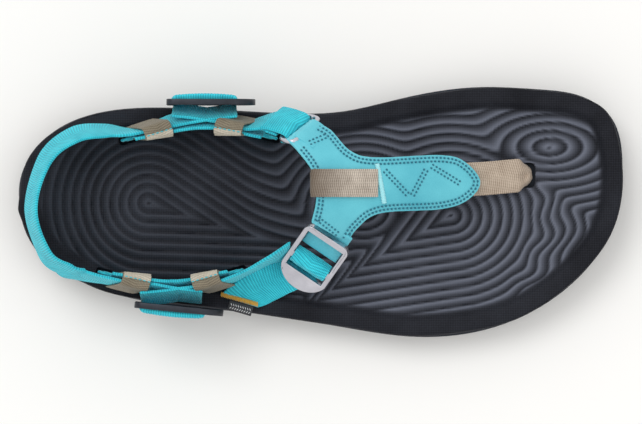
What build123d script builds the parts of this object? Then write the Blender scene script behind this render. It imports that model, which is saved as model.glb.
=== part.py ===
from build123d import *
import os
from math import atan2, degrees, pi, sin, sqrt

os.makedirs("parts", exist_ok=True)

# A right-foot strappy sport sandal.
# Frame: +X to the toe, +Y to the big-toe side, +Z up, millimetres.
# The origin is on the ground, under the middle of the sole.

# Sole
sole_length = 286.4
sole_width = 117.8
lug_depth = 2.5
lug_length = 15.0
lug_width = 7.0
lug_gap = 3.5
lug_lean = 3.0
lug_margin = 5.0
outsole_base = 2.5
outsole_lip = 0.8
midsole_heel = 13.0
midsole_toe = 9.5
footbed_thickness = 4.0
footbed_dish = 1.5
rim_width = 9.0
toe_spring = 9.0
toe_spring_start = 0.35
heel_spring = 1.5
heel_spring_start = -0.83

# Webbing
web_width = 19.0
web_thickness = 1.8
toe_web_width = 16.0
pull_web_width = 13.3
leg_width = 20.0
slot_clearance = 1.2
layer_gap = 0.4
tunnel_gap = 0.3
slot_depth = 6.0
toe_anchor_height = 2.0
toe_anchor_rim = 3.0
toe_anchor_depth = 6.5
toe_hole_clearance = 1.6
strap_rise = 3.0

# Keepers, buckles and the ring
keeper_width = 13.0
keeper_wall = 1.1
keeper_clearance = 0.5
keeper_room = 4.8
side_buckle_length = 42.0
side_plate_length = 11.0
yoke_buckle_length = 37.0
yoke_plate_length = 9.6
buckle_thickness = 3.0
rail_width = 2.2
rail_clearance = 0.4
bar_width = 3.4
slot_width = 5.6
ring_pitch = 8.5
hang_clearance = 0.45
label_length = 12.0
label_width = 4.6
label_thickness = 1.0
label_shift = 0.0

# Yoke
yoke_radius = 34.0
yoke_skin = 1.6
lining_thickness = 1.0
yoke_height = 45.0
yoke_nose_height = 12.0
yoke_run = 92.0
yoke_nose_reach = 45.0
arm_gap = 3.2
tack_width = 1.5

half_length = sole_length / 2
half_width = sole_width / 2
outsole_top = lug_depth + outsole_base
buckle_width = web_width + 2 * rail_clearance + 2 * rail_width

# Middles of the side straps, the toe hole and the yoke, as shares of the half length and half width.
medial_place = (-0.385, 0.72)
lateral_place = (-0.490, -0.60)
toe_hole_place = (0.692, 0.297)
yoke_place = (0.21, 0.22)

# Plan outline of the sole, as shares of its half length and half width.
OUTLINE = [
    (-1.000, 0.095), (-0.972, 0.418), (-0.880, 0.654), (-0.731, 0.798),
    (-0.532, 0.837), (-0.134, 0.793), (0.065, 0.803), (0.264, 0.907),
    (0.524, 1.000), (0.728, 0.981), (0.861, 0.929), (0.960, 0.764),
    (1.000, 0.331), (0.980, -0.066), (0.905, -0.389), (0.761, -0.711),
    (0.587, -0.915), (0.317, -1.000), (0.065, -0.919), (-0.267, -0.800),
    (-0.632, -0.689), (-0.797, -0.557), (-0.930, -0.346), (-0.993, -0.051),
]

# Plan edges of the yoke, from its middle: round the nose, then the rear edge.
YOKE_FRONT = [
    (-35.0, 30.6), (-25.5, 25.9), (-16.0, 15.9), (-4.1, 12.8), (26.8, 14.0), (38.6, 10.7),
    (45.8, 1.2), (39.6, -7.4), (26.8, -11.7), (-1.7, -13.6), (-12.7, -20.7), (-17.9, -28.8),
]
YOKE_REAR = [(-34.3, -18.1), (-32.1, -7.4), (-33.3, 5.0), (-41.2, 16.4), (-46.9, 22.0)]


def save(solid, name):
    solid.label = name
    export_step(solid, f"parts/{name}.step")


def place(origin, along, normal):
    """A plane whose X is square to along and normal, and whose Y is along."""
    y_axis = Vector(*along).normalized()
    z_axis = Vector(*normal)
    z_axis = (z_axis - y_axis * z_axis.dot(y_axis)).normalized()
    return Plane(origin=origin, x_dir=y_axis.cross(z_axis), z_dir=z_axis)


def block(x_range, y_range, z_range):
    """A box from three (low, high) pairs."""
    sizes = [high - low for low, high in (x_range, y_range, z_range)]
    middle = [(high + low) / 2 for low, high in (x_range, y_range, z_range)]
    return Pos(*middle) * Box(*sizes)


def band(points, across, width, thickness, sections=11, square=True):
    """Flat webbing along a smooth route; across gives the width direction at each point.
    With square off, the width directions stay slanted to the route, as on webbing cut at an angle."""
    route = Spline(*points)
    spans = [(Vector(*b) - Vector(*a)).length for a, b in zip(points, points[1:])]
    marks = [sum(spans[:i]) / sum(spans) for i in range(len(points))]
    loops = []
    for i in range(sections):
        t = i / (sections - 1)
        k = max(j for j in range(len(marks) - 1) if marks[j] <= t + 1e-9)
        share = (t - marks[k]) / (marks[k + 1] - marks[k])
        side = Vector(*across[k]).normalized() * (1 - share) + Vector(*across[k + 1]).normalized() * share
        tangent = route.tangent_at(t)
        if square:
            side = side - tangent * side.dot(tangent)
        side = side.normalized() * (width / 2)
        face = tangent.cross(side).normalized() * (thickness / 2)
        centre = route.position_at(t)
        corners = [centre + side + face, centre - side + face, centre - side - face, centre + side - face]
        loops.append(Wire.make_polygon(corners, close=True))
    return Solid.make_loft(loops)


# ---------------------------------------------------------------- sole

def arc_rise(run, total_run, total_rise):
    """Height of a tangent arc that climbs total_rise over total_run."""
    radius = (total_run**2 + total_rise**2) / (2 * total_rise)
    return radius - sqrt(radius**2 - run**2)


def ground_rise(x):
    toe_start = toe_spring_start * half_length
    heel_start = heel_spring_start * half_length
    if x > toe_start:
        return arc_rise(x - toe_start, half_length - toe_start, toe_spring)
    if x < heel_start:
        return arc_rise(heel_start - x, half_length + heel_start, heel_spring)
    return 0.0


def midsole_top(x):
    share = min(1.0, max(0.0, (x / half_length + 0.63) / 0.98))
    eased = share * share * (3 - 2 * share)
    return ground_rise(x) + outsole_top + midsole_heel + (midsole_toe - midsole_heel) * eased


def rim_top(x):
    return midsole_top(x) + footbed_thickness


def dish_top(x):
    return rim_top(x) - footbed_dish


def far_above(x):
    return rim_top(x) + 20


def ground_curve(lift):
    """The side view of the tread: flat in the middle, with a tangent arc up to each end."""
    places = [-1.03, -0.93, heel_spring_start, toe_spring_start, 0.70, 1.03]
    points = [(share * half_length, 0, ground_rise(share * half_length) + lift) for share in places]
    return [ThreePointArc(*points[:3]), Line(*points[2:4]), ThreePointArc(*points[3:])]


def upper_curve(height):
    """The side view of a surface above the midsole, a little longer than the sole."""
    places = [-1.03, -0.93, -0.83, -0.62, -0.40, -0.15, 0.10, 0.35, 0.55, 0.75, 0.92, 1.03]
    return [Spline(*[(share * half_length, 0, height(share * half_length)) for share in places])]


def layer(bottom, top):
    """The slab between two side-view curves, wider than the sole."""
    front = Line(bottom[-1] @ 1, top[-1] @ 1)
    back = Line(bottom[0] @ 0, top[0] @ 0)
    side = make_face(bottom + top + [front, back])
    return extrude(side, amount=sole_width, dir=(0, 1, 0), both=True)


def outline_prism(inset=0.0):
    """The sole's plan outline, moved in by inset, as a tall prism."""
    reach_x = half_length - inset
    reach_y = half_width - inset
    points = [(x * reach_x, y * reach_y, -20) for x, y in OUTLINE]
    return extrude(make_face([Spline(*points, periodic=True)]), amount=120, dir=(0, 0, 1))


def lug(x, y, lean):
    """One slanted tread block, as a tall prism."""
    half = lug_length / 2
    corners = [
        (x - lean, y - half, -10), (x - lean + lug_width, y - half, -10),
        (x + lean + lug_width, y + half, -10), (x + lean, y + half, -10),
    ]
    return extrude(make_face([Polyline(*corners, close=True)]), amount=40, dir=(0, 0, 1))


def make_outsole():
    pitch_x = lug_width + lug_gap
    pitch_y = lug_length + lug_gap
    lugs = []
    for row in range(int(sole_length / pitch_x) + 1):
        lean = lug_lean if row % 2 else -lug_lean
        for column in range(int(sole_width / pitch_y) + 1):
            corner_x = -half_length + row * pitch_x
            middle_y = -half_width + (column + 0.5) * pitch_y
            lugs.append(lug(corner_x, middle_y, lean))
    tread = layer(ground_curve(0), ground_curve(lug_depth)) & outline_prism(lug_margin)
    base = layer(ground_curve(lug_depth), ground_curve(outsole_top)) & outline_prism(-outsole_lip)
    return base + (tread & (Part() + lugs))


class Slot:
    """A slot down through the footbed for one leg of an anchor strap."""

    def __init__(self, x, y, turn):
        self.x = x
        self.y = y
        self.turn = turn
        self.floor = midsole_top(x) - slot_depth

    def box(self, low, high, length, width):
        return Pos(self.x, self.y, (low + high) / 2) * Rot(0, 0, self.turn) * Box(length, width, high - low)

    def hole(self):
        length = leg_width + 2 * slot_clearance
        return self.box(self.floor, far_above(self.x), length, web_thickness + 2 * slot_clearance)

    def leg(self, high):
        return self.box(self.floor + layer_gap, high, leg_width, web_thickness)


medial_x = medial_place[0] * half_length
medial_y = medial_place[1] * half_width
lateral_x = lateral_place[0] * half_length
lateral_y = lateral_place[1] * half_width
toe_hole_x = toe_hole_place[0] * half_length
toe_hole_y = toe_hole_place[1] * half_width

SLOTS = {
    "rear_medial": Slot(medial_x - 30.0, medial_y - 6.0, 15),
    "front_medial": Slot(medial_x + 25.0, medial_y - 5.2, -14),
    "rear_lateral": Slot(lateral_x - 26.0, lateral_y + 4.5, -15),
    "front_lateral": Slot(lateral_x + 24.0, lateral_y + 5.3, 16),
}


def under_web_box(rear_slot, front_slot, gap):
    """The flat run of webbing between a medial and a lateral slot, or its tunnel."""
    start = Vector(rear_slot.x, rear_slot.y)
    end = Vector(front_slot.x, front_slot.y)
    run = end - start
    turn = degrees(atan2(run.Y, run.X))
    length = run.length - web_width - 2 * slot_clearance + 2 * gap
    middle = (start + end) / 2
    height = web_thickness + 2 * gap
    level = min(rear_slot.floor, front_slot.floor) + web_thickness
    web = Box(length, web_width + 2 * gap, height)
    return Pos(middle.X, middle.Y, level) * Rot(0, 0, turn) * web


def toe_slot(low, high, gap):
    width = toe_web_width + 2 * gap
    thickness = web_thickness + 2 * gap
    return Pos(toe_hole_x, toe_hole_y, (low + high) / 2) * Box(thickness, width, high - low)


toe_anchor_radius = toe_web_width / 2 + toe_anchor_rim
toe_anchor_level = midsole_top(toe_hole_x) - toe_anchor_depth


def toe_anchor_disc(gap):
    height = toe_anchor_height + 2 * gap
    disc = Cylinder(toe_anchor_radius + gap, height)
    return Pos(toe_hole_x, toe_hole_y, toe_anchor_level) * disc


def make_midsole():
    body = layer(ground_curve(outsole_top), upper_curve(midsole_top)) & outline_prism()
    for slot in SLOTS.values():
        body = body - slot.hole()
    for end in ("rear", "front"):
        body = body - under_web_box(SLOTS[f"{end}_medial"], SLOTS[f"{end}_lateral"], tunnel_gap)
    body = body - toe_anchor_disc(tunnel_gap)
    return body - toe_slot(toe_anchor_level, toe_anchor_level + 30, toe_hole_clearance)


def make_footbed():
    body = layer(upper_curve(midsole_top), upper_curve(rim_top)) & outline_prism()
    body = body - (layer(upper_curve(dish_top), upper_curve(far_above)) & outline_prism(rim_width))
    for slot in SLOTS.values():
        body = body - slot.hole()
    return body - toe_slot(0, 60, toe_hole_clearance)


# ------------------------------------------------- side straps and keepers

strap_low = {"medial": rim_top(medial_x) + strap_rise, "lateral": rim_top(lateral_x) + strap_rise}
strap_mid = {side: low + web_width / 2 for side, low in strap_low.items()}
side_x = {"medial": medial_x, "lateral": lateral_x}
side_y = {"medial": medial_y, "lateral": lateral_y}


def side_point(side, dx, dy, dz=0.0):
    """A point given from the middle of one side's anchor strap."""
    return (side_x[side] + dx, side_y[side] + dy, strap_mid[side] + dz)


def anchor_strap(side, bulge):
    """Webbing on edge between two slots, with a leg down into each."""
    rear = SLOTS[f"rear_{side}"]
    front = SLOTS[f"front_{side}"]
    points = [
        (rear.x - 3.0, rear.y - bulge * 0.8, strap_mid[side]),
        (rear.x, rear.y, strap_mid[side]),
        (side_x[side], side_y[side], strap_mid[side]),
        (front.x, front.y, strap_mid[side]),
        (front.x + 3.0, front.y - bulge * 0.8, strap_mid[side]),
    ]
    run = band(points, [(0, 0, 1)] * 5, web_width, web_thickness)
    leg_top = strap_low[side] + 3.0
    return run + rear.leg(leg_top) + front.leg(leg_top)


# Side, place along and across, turn, nose-up pitch and extra height.
KEEPERS = {
    "rear_medial": ("medial", -26.0, -3.3, 18, 0, 0.0),
    "front_medial": ("medial", 18.0, -1.0, -11, 10, 3.0),
    "rear_lateral": ("lateral", -21.0, 1.3, -14, 0, 0.0),
    "front_lateral": ("lateral", 19.6, 2.0, 17, 6, 1.5),
}
keeper_gap = 2 * web_thickness + keeper_room
keeper_height = web_width + 2 * keeper_clearance


def keeper(side, dx, dy, turn, pitch, lift):
    """A band folded over the anchor strap and the running strap, open underneath."""
    outer = keeper_gap / 2 + keeper_wall
    roof = keeper_height / 2 + lift
    length = (-keeper_width / 2, keeper_width / 2)
    shell = block(length, (-outer, outer), (-keeper_height / 2, roof + keeper_wall))
    shell = fillet(shell.edges().filter_by(Axis.X).group_by(Axis.Z)[-1], keeper_wall * 1.5)
    inside = block((-keeper_width, keeper_width), (-keeper_gap / 2, keeper_gap / 2), (-keeper_height, roof))
    return Pos(*side_point(side, dx, dy)) * Rot(0, 0, turn) * Rot(0, -pitch, 0) * (shell - inside)


UP = (0, 0, 1)


def make_medial_rear_strap():
    offsets = [(-37, -4.0), (-26, -1.4), (-17, 1.9), (-5, 4.0), (8, 5.6)]
    points = [side_point("medial", dx, dy) for dx, dy in offsets]
    return band(points, [UP] * len(points), web_width, web_thickness)


def make_lateral_rear_strap():
    offsets = [(-33.0, 3.0), (-21, -0.3), (-9, -2.6), (3, -4.6), (7, -5.3)]
    points = [side_point("lateral", dx, dy) for dx, dy in offsets]
    return band(points, [UP] * len(points), web_width, web_thickness)


# ------------------------------------------------- slide buckles and webbing folds

def plate_start(length, plate):
    return length - bar_width / 2 - plate


def centre_bar(length, plate):
    return plate_start(length, plate) - slot_width - bar_width / 2


def slide_buckle(length, plate):
    """A slide with two slots and a rounded end plate; Y runs from the rear bar's middle to the plate."""
    half = buckle_width / 2
    inner = web_width / 2 + rail_clearance
    rear = -bar_width / 2
    tip = length - bar_width / 2
    start = plate_start(length, plate)
    middle = centre_bar(length, plate)
    corner = 4.0
    edge = [
        Line((half, rear + corner), (half, start)),
        ThreePointArc((half, start), (0, tip), (-half, start)),
        Line((-half, start), (-half, rear + corner)),
        ThreePointArc((-half, rear + corner), (-half + corner * 0.29, rear + corner * 0.29), (-half + corner, rear)),
        Line((-half + corner, rear), (half - corner, rear)),
        ThreePointArc((half - corner, rear), (half - corner * 0.29, rear + corner * 0.29), (half, rear + corner)),
    ]
    body = extrude(Pos(0, 0, -buckle_thickness / 2) * make_face(edge), amount=buckle_thickness)
    thick = (-buckle_thickness, buckle_thickness)
    first = block((-inner, inner), (bar_width / 2, middle - bar_width / 2), thick)
    second = block((-inner, inner), (middle + bar_width / 2, start), thick)
    return body - first - second


def fold(start, end, depth):
    """Webbing over a bar: two legs through the slots and a rounded top."""
    half = web_width / 2
    crest = buckle_thickness / 2 + 0.7
    outside = block((-half, half), (start, end), (-depth, crest + web_thickness))
    ridges = outside.edges().filter_by(Axis.X).group_by(Axis.Z)[-1]
    outside = fillet(ridges, web_thickness + 0.9)
    inside = block((-half * 2, half * 2), (start + web_thickness, end - web_thickness), (-depth * 2, crest))
    roof = inside.edges().filter_by(Axis.X).group_by(Axis.Z)[-1]
    return outside - fillet(roof, 0.9)


fold_reach = bar_width / 2 + hang_clearance + web_thickness
yoke_bar = centre_bar(yoke_buckle_length, yoke_plate_length)
side_bar = centre_bar(side_buckle_length, side_plate_length)
side_fold_start = bar_width / 2 + hang_clearance

SIDE_BUCKLES = {
    "medial": (medial_x - 16.0, medial_y + 9.6, 0.0, 1),
    "lateral": (lateral_x - 16.0, lateral_y - 8.6, -5.7, -1),
}


def side_buckle_plane(side):
    """The rear bar's middle, with Y toward the toe and Z away from the foot."""
    x, y, turn, outward = SIDE_BUCKLES[side]
    along = Vector(1, 0, 0).rotate(Axis.Z, turn)
    normal = Vector(0, outward, 0).rotate(Axis.Z, turn)
    return place((x, y, strap_mid[side]), along, normal)


# ------------------------------------------------- heel strap

heel_pivot_medial = side_point("medial", -47.4, -3.9)
heel_pivot_lateral = side_point("lateral", -43.3, 5.6)


def make_heel_strap():
    back = -half_length
    points = [
        heel_pivot_medial,
        (back + 27, 0.62 * half_width, strap_mid["medial"] + 3.5),
        (back + 13.5, 0.43 * half_width, strap_mid["medial"] + 9),
        (back + 6.6, 0.03 * half_width, strap_mid["medial"] + 12),
        (back + 13.0, -0.33 * half_width, strap_mid["lateral"] + 9),
        (back + 22.5, -0.46 * half_width, strap_mid["lateral"] + 4),
        heel_pivot_lateral,
    ]
    across = [
        (0.0, -0.30, 1), (0.12, -0.36, 1), (0.22, -0.22, 1), (0.26, 0, 1), (0.18, 0.18, 1), (0.08, 0.24, 1), (0, 0.20, 1),
    ]
    return band(points, across, web_width, web_thickness, 17)


# ------------------------------------------------- yoke

yoke_x = yoke_place[0] * half_length
yoke_y = yoke_place[1] * half_width
yoke_nose_x = yoke_x + yoke_nose_reach


def yoke_top(x):
    """Height of the yoke's crown at x."""
    share = min(1.2, max(-0.2, (yoke_nose_x - x) / yoke_run))
    rise = (yoke_height - yoke_nose_height) * sin(pi / 2 * share)
    return rim_top(yoke_x) + yoke_nose_height + rise


def yoke_shell(outer, inner):
    """The dome between two offsets from the yoke's outer face, wider than the yoke."""
    loops = []
    for share in (-0.06, 0.18, 0.40, 0.62, 0.84, 1.10):
        x = yoke_nose_x - share * yoke_run
        centre = Vector(x, yoke_y, yoke_top(x) - yoke_radius)
        ends = []
        for offset in (outer, inner):
            reach = yoke_radius + offset
            tip = Vector(0, reach, 0).rotate(Axis.X, 12)
            other = Vector(tip.X, -tip.Y, tip.Z)
            ends.append((centre + tip, centre + Vector(0, 0, reach), centre + other))
        (a, b, c), (d, e, f) = ends
        edges = [ThreePointArc(a, b, c), Line(c, f), ThreePointArc(f, e, d), Line(d, a)]
        loops.append(Wire(edges))
    return Solid.make_loft(loops)


def yoke_prism():
    front = [(yoke_x + x, yoke_y + y, 0) for x, y in YOKE_FRONT]
    rear = [(yoke_x + x, yoke_y + y, 0) for x, y in YOKE_REAR]
    edges = [Spline(*front), Line(front[-1], rear[0]), Spline(*rear), Line(rear[-1], front[0])]
    return extrude(make_face(edges), amount=150, dir=(0, 0, 1))


lateral_bar = Vector(yoke_x - 26.5, yoke_y - 25.6, yoke_top(yoke_x - 26.5) - 13.4)
medial_bar = Vector(yoke_x - 36.5, yoke_y + 25.3, yoke_top(yoke_x - 36.5) - 12.6)
lateral_plane = place(lateral_bar, (-0.4445, -0.632, -0.634), (-0.339, -0.536, 0.772))
medial_plane = place(medial_bar, (-0.80, 0.20, -0.57), (-0.10, 0.80, 0.60))


def yoke_layer(outer, inner):
    body = yoke_shell(outer, inner) & yoke_prism()
    beyond = block((-30, 30), (-arm_gap, 40), (-30, 30))
    body = body - lateral_plane.location * beyond
    return body - medial_plane.location * beyond


def yoke_strip(outer, inner, x_range, y_range):
    """A strip of the yoke's dome; the ranges are from the yoke's middle."""
    x_range = [yoke_x + value for value in x_range]
    y_range = [yoke_y + value for value in y_range]
    return yoke_shell(outer, inner) & block(x_range, y_range, (0, 150))


def tab():
    """The arm's tongue, flat under the rear bar and on into the first slot."""
    half = web_width / 2
    top = -buckle_thickness / 2 - hang_clearance
    return block((-half, half), (-arm_gap + 0.3, yoke_bar - fold_reach - 2.4), (top - yoke_skin, top))


def ring():
    """A rectangular ring: the yoke-side bar lies on the origin."""
    half = buckle_width / 2
    inner = web_width / 2 + rail_clearance
    end = ring_pitch + bar_width / 2
    thick = (-buckle_thickness / 2, buckle_thickness / 2)
    body = block((-half, half), (-bar_width / 2, end), thick)
    body = fillet(body.edges().filter_by(Axis.Z), 2.0)
    return body - block((-inner, inner), (bar_width / 2, ring_pitch - bar_width / 2), (-9, 9))


def make_medial_tab():
    half = web_width / 2
    top = -buckle_thickness / 2 - hang_clearance
    return block((-half, half), (-arm_gap + 0.3, bar_width / 2), (top - yoke_skin, top))


def make_toe_web():
    start_x = yoke_nose_x - 6.0
    under = yoke_top(start_x) - yoke_skin - lining_thickness - web_thickness - 1.6
    hole_level = rim_top(toe_hole_x)
    points = [
        (start_x, toe_hole_y - 2.0, under),
        (toe_hole_x - 16, toe_hole_y - 1.0, hole_level + (under - hole_level) * 0.45),
        (toe_hole_x - 4.0, toe_hole_y, hole_level + 1.4),
        (toe_hole_x + 0.4, toe_hole_y, hole_level - 5.5),
    ]
    return band(points, [(0, 1, 0)] * 4, toe_web_width, web_thickness)


# ------------------------------------------------- forefoot straps and tail

def make_medial_front_strap():
    end = ring_pitch + fold_reach + 2.0
    near_ring = [tuple(medial_plane.from_local_coords(Vector(0, y, 0))) for y in (end + 6.5, end)]
    points = [
        side_point("medial", 2.0, 2.4),
        side_point("medial", 12, 1.4),
        side_point("medial", 20, -0.3, 0.2),
        *near_ring,
    ]
    bars = medial_plane.x_dir
    if bars.Z < 0:
        bars = -bars
    last = (bars.X, bars.Y, bars.Z)
    middle = (bars.X * 0.5, bars.Y * 0.5, 0.5 + bars.Z * 0.5)
    return band(points, [UP, UP, UP, middle, last], web_width, web_thickness)


def make_lateral_front_strap():
    points = [
        side_point("lateral", 3.2, -2.6),
        side_point("lateral", 13.2, -2.1),
        side_point("lateral", 23, 0.6),
        side_point("lateral", 36, 8.2, 3.0),
        side_point("lateral", 46, 14.0, 7.0),
    ]
    return band(points, [UP, UP, UP, (0, 0.1, 1), (0.05, 0.2, 1)], web_width, web_thickness)


tail_root = lateral_bar + Vector(-23.4, -19.4, -24.3)
tail_points = [tuple(tail_root + Vector(*step)) for step in ((0, 0, 0), (-7.9, -5.5, 0.8), (-15.8, -11.1, 1.5))]
tail_across = [(6.5, -17.5, -1.0), (10.0, -12.5, -2.5), (14.3, -6.2, -3.0)]
tail_plane = place(tail_points[-1], (-0.27, -0.96, 0.0), (0.0, 0.0, 1.0))


def make_tail():
    return band(tail_points, tail_across, web_width, web_thickness, 7, square=False)


def make_label():
    """A small woven label that hangs past the strap's end."""
    start = web_thickness
    x_range = (label_shift - label_length / 2, label_shift + label_length / 2)
    return tail_plane.location * block(x_range, (start, start + label_width), (0, label_thickness))


def make_label_tack():
    """The row of bar stitching across the strap's end."""
    half = web_width / 2 - 0.5
    low = web_thickness / 2 + 2.2
    return tail_plane.location * block((-half, half), (-1.9, -0.1), (low, low + label_thickness))


for name, build in (("outsole", make_outsole), ("midsole", make_midsole), ("footbed", make_footbed)):
    save(build(), name)

for end in ("rear", "front"):
    save(under_web_box(SLOTS[f"{end}_medial"], SLOTS[f"{end}_lateral"], 0.0), f"{end}_under_web")
save(toe_anchor_disc(0.0), "toe_anchor")

save(anchor_strap("medial", 1), "medial_anchor_strap")
save(anchor_strap("lateral", -1), "lateral_anchor_strap")
for name, values in KEEPERS.items():
    save(keeper(*values), f"{name}_keeper")

save(make_medial_rear_strap(), "medial_rear_strap")
save(make_medial_front_strap(), "medial_front_strap")
save(make_lateral_rear_strap(), "lateral_rear_strap")
save(make_lateral_front_strap(), "lateral_front_strap")
save(make_heel_strap(), "heel_strap")

for side in ("medial", "lateral"):
    plane = side_buckle_plane(side)
    buckle = slide_buckle(side_buckle_length, side_plate_length)
    save(plane.location * buckle, f"{side}_side_buckle")
    webbing = fold(side_fold_start, side_bar + fold_reach, 2.4)
    save(plane.location * webbing, f"{side}_side_fold")

save(yoke_layer(0.0, -yoke_skin), "yoke_upper")
save(yoke_layer(-yoke_skin - 0.1, -yoke_skin - lining_thickness), "yoke_lining")
save(yoke_strip(0.1 + web_thickness, 0.1, (-36.0, -3.4), (-6.0, -6.0 + pull_web_width)), "pull_webbing")
save(yoke_strip(1.6, 0.1, (-2.6, -2.6 + tack_width), (-8.6, 9.2)), "tack_bar")
save(make_toe_web(), "toe_post_webbing")

yoke_buckle = slide_buckle(yoke_buckle_length, yoke_plate_length)
save(lateral_plane.location * yoke_buckle, "lateral_yoke_buckle")
yoke_fold = fold(yoke_bar - fold_reach, yoke_bar + fold_reach, 2.8)
save(lateral_plane.location * yoke_fold, "lateral_yoke_fold")
save(lateral_plane.location * tab(), "lateral_yoke_tab")
save(medial_plane.location * ring(), "medial_yoke_ring")
ring_fold = fold(ring_pitch - fold_reach, ring_pitch + fold_reach, 2.8)
save(medial_plane.location * ring_fold, "medial_ring_fold")
save(medial_plane.location * make_medial_tab(), "medial_yoke_tab")
save(make_tail(), "strap_tail")
save(make_label(), "tail_label")
save(make_label_tack(), "label_tack")
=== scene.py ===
import math
import bpy
import numpy as np
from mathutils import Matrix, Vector


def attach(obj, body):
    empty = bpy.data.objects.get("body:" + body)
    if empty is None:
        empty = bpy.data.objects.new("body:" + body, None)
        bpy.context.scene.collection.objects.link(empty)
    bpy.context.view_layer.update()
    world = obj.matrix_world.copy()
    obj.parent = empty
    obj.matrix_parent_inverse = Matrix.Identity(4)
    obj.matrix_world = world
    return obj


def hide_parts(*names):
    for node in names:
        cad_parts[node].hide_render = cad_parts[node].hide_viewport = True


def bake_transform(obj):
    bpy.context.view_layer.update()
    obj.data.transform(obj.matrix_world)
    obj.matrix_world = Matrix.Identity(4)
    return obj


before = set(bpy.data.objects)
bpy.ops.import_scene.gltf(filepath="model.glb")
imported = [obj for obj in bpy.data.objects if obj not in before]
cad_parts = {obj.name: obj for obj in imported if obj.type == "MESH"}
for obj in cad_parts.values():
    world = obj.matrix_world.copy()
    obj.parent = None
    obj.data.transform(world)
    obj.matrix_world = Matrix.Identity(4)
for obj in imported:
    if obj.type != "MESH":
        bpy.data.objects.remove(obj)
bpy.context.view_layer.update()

MM = 0.001
HALF_LENGTH = 143.2
HALF_WIDTH = 58.9
OUTSOLE_TOP = 5.0
MIDSOLE_HEEL = 13.0
MIDSOLE_DROP = 3.5
TOE_SPRING = 9.0
HEEL_SPRING = 1.5
FOOTBED = 4.0
DISH = 1.5
BORDER = (9.0, 11.5)
RIDGE = 1.0
PITCH = 4.3
WEB_WIDTH = 19.0
WEB = 1.8
UP = (0, 0, 1)

SOLE, HEEL, YOKE = "sole_and_anchors", "heel_strap", "yoke"


# ------------------------------------------------------------------ shader nodes

def linear(red, green, blue):
    """A screen colour, 0 to 255, as the shader's linear colour."""
    out = []
    for value in (red, green, blue):
        value = value / 255
        out.append(value / 12.92 if value < 0.04045 else ((value + 0.055) / 1.055) ** 2.4)
    return (*out, 1.0)


class Socket:
    """A node's output, with arithmetic that adds Math nodes."""

    def __init__(self, finish, output):
        self.finish = finish
        self.output = output

    def __add__(self, other):
        return self.finish.math("ADD", self, other)

    def __mul__(self, other):
        return self.finish.math("MULTIPLY", self, other)

    def __sub__(self, other):
        return self.finish.math("SUBTRACT", self, other)

    __radd__ = __add__



class Finish:
    """One material: its nodes are added by node(), and feed() joins them to the shader."""

    def __init__(self, name, **constants):
        self.material = bpy.data.materials.new(name)
        self.material.use_nodes = True
        self.tree = self.material.node_tree
        self.shader = self.tree.nodes["Principled BSDF"]
        for key, value in constants.items():
            self.shader.inputs[key.replace("_", " ")].default_value = value

    def node(self, kind, inputs=None, output=0, **settings):
        made = self.tree.nodes.new("ShaderNode" + kind)
        for key, value in settings.items():
            setattr(made, key, value)
        for key, value in (inputs or {}).items():
            if isinstance(value, Socket):
                self.tree.links.new(value.output, made.inputs[key])
            else:
                made.inputs[key].default_value = value
        return Socket(self, made.outputs[output])

    def math(self, operation, *values):
        return self.node("Math", dict(enumerate(values)), operation=operation)

    def blend(self, share, a, b):
        return self.node("Mix", {0: share, 6: a, 7: b}, output=2, data_type="RGBA")

    def noise(self, scale, detail=2.0, roughness=0.5, vector=None):
        vector = vector or self.node("TexCoord", output=3)
        return self.node("TexNoise", {"Vector": vector, "Scale": scale, "Detail": detail, "Roughness": roughness})

    def axes(self, vector):
        return [self.node("SeparateXYZ", {0: vector}, output=i) for i in range(3)]

    def bump(self, height, strength, distance):
        return self.node("Bump", {"Strength": strength, "Distance": distance, "Height": height})

    def feed(self, colour, roughness, normal):
        for key, value in (("Base Color", colour), ("Roughness", roughness), ("Normal", normal)):
            self.tree.links.new(value.output, self.shader.inputs[key])
        return self.material


def webbing(name, dark, light, rib=1.15, painted_shade_span=None):
    """Woven strap: slightly bowed cross ribs and fine yarns. The optional span gives the x, in millimetres, across
    which painted shade darkens the strap toward lower x.
    """
    f = Finish(name, Sheen_Weight=0.2, Sheen_Roughness=0.4, Specular_IOR_Level=0.3)
    along, across, _ = f.axes(f.node("UVMap", uv_map="strip"))
    side = f.math("ABSOLUTE", across)
    turn = 2 * math.pi / (rib * MM)
    ribs = f.math("SINE", along * turn + side * (turn * 0.2)) * 0.5 + 0.5
    yarns = f.math("SINE", across * (2 * math.pi / (0.75 * MM))) * 0.5 + 0.5
    cloud = f.noise(160.0, 3.0, 0.6)
    fuzz = f.noise(2600.0, 2.0, 0.6)
    weave = ribs * 0.6 + yarns * 0.4
    shade = weave * 0.65 + cloud * 0.5 + fuzz * 0.35 - 0.28
    # painted shade: darker toward lower x and a little lighter toward higher x, standing in for light and shade
    # along a bend
    if painted_shade_span:
        x = f.axes(f.node("TexCoord", output=3))[0]
        shade = shade * f.node("MapRange", {0: x, 1: painted_shade_span[0] * MM, 2: painted_shade_span[1] * MM, 3: 0.05, 4: 1.15})
    shade = f.math("MINIMUM", f.math("MAXIMUM", shade, 0.0), 1.0)
    normal = f.bump(weave + fuzz * 0.35, 0.55, 0.00035)
    return f.feed(f.blend(shade, dark, light), 0.62 + fuzz * 0.25, normal)


def microfibre():
    """Smooth turquoise upper with a fine grain and softly worn tone."""
    f = Finish("yoke_microfibre", Specular_IOR_Level=0.45, Sheen_Weight=0.1)
    grain = f.noise(1900.0, 4.0, 0.65)
    pores = f.node("TexVoronoi", {"Vector": f.node("TexCoord", output=3), "Scale": 1500.0}, feature="F1")
    tone = f.noise(34.0, 3.0, 0.5)
    shade = tone * 0.9 + grain * 0.35 - 0.12
    normal = f.bump(grain * 0.6 + pores * 0.4, 0.22, 0.00018)
    return f.feed(f.blend(shade, linear(30, 148, 172), linear(124, 224, 236)), 0.42 + grain * 0.2, normal)


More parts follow.
